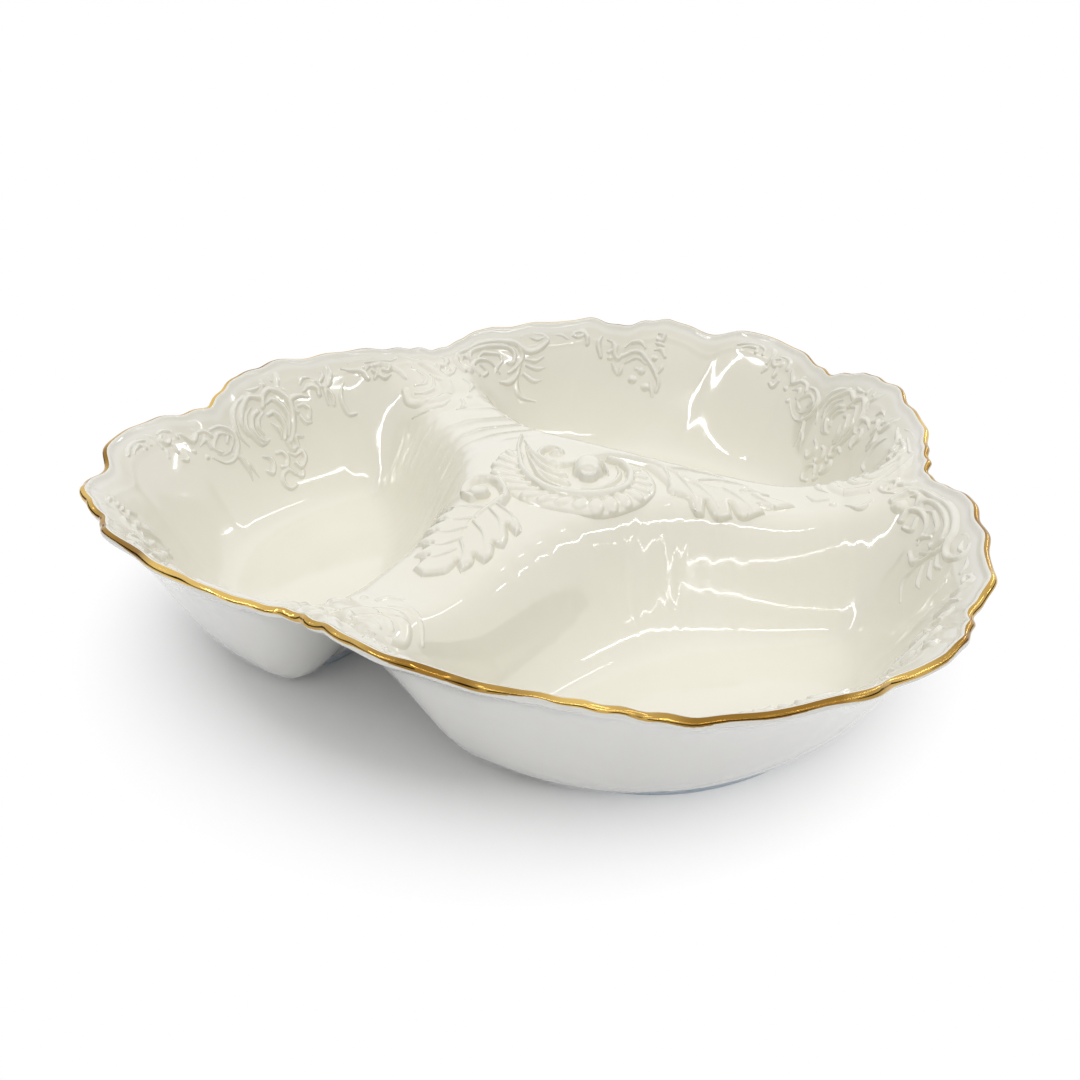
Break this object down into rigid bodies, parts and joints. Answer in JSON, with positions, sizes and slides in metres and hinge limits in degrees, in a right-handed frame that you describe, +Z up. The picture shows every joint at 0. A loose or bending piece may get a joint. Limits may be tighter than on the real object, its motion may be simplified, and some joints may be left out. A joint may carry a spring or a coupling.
{
  "type": "divided serving bowl",
  "caption": "Shallow serving bowl in glazed porcelain with lobed wells parted by broad ridges, a scalloped gilt rim and relief scrolls and leaves.",
  "frame": {"origin": "centre of the bounding box in plan, on the table that the feet stand on", "axes": "+Z up out of the bowl, +X from the hub along one ridge towards its notch in the rim"},
  "size_m": [0.2896, 0.2958, 0.0594],
  "materials": {
    "glaze": "gloss",
    "gilding": "polished",
    "foot": "satin"
  },
  "bodies": {
    "root": {"bowl_body": "glaze", "gilt_rim": "gilding", "foot_ring_right": "foot", "foot_ring_left": "foot", "foot_ring_front": "foot", "centre_scroll": "glaze", "leaf_right": "glaze", "leaf_front": "glaze", "cartouche_right": "glaze", "cartouche_left": "glaze", "cartouche_front": "glaze", "beaded_right": "glaze", "beaded_left": "glaze", "beaded_front": "glaze", "crescent_right": "glaze", "crescent_back": "glaze", "crescent_front": "glaze"}
  },
  "joints": []
}
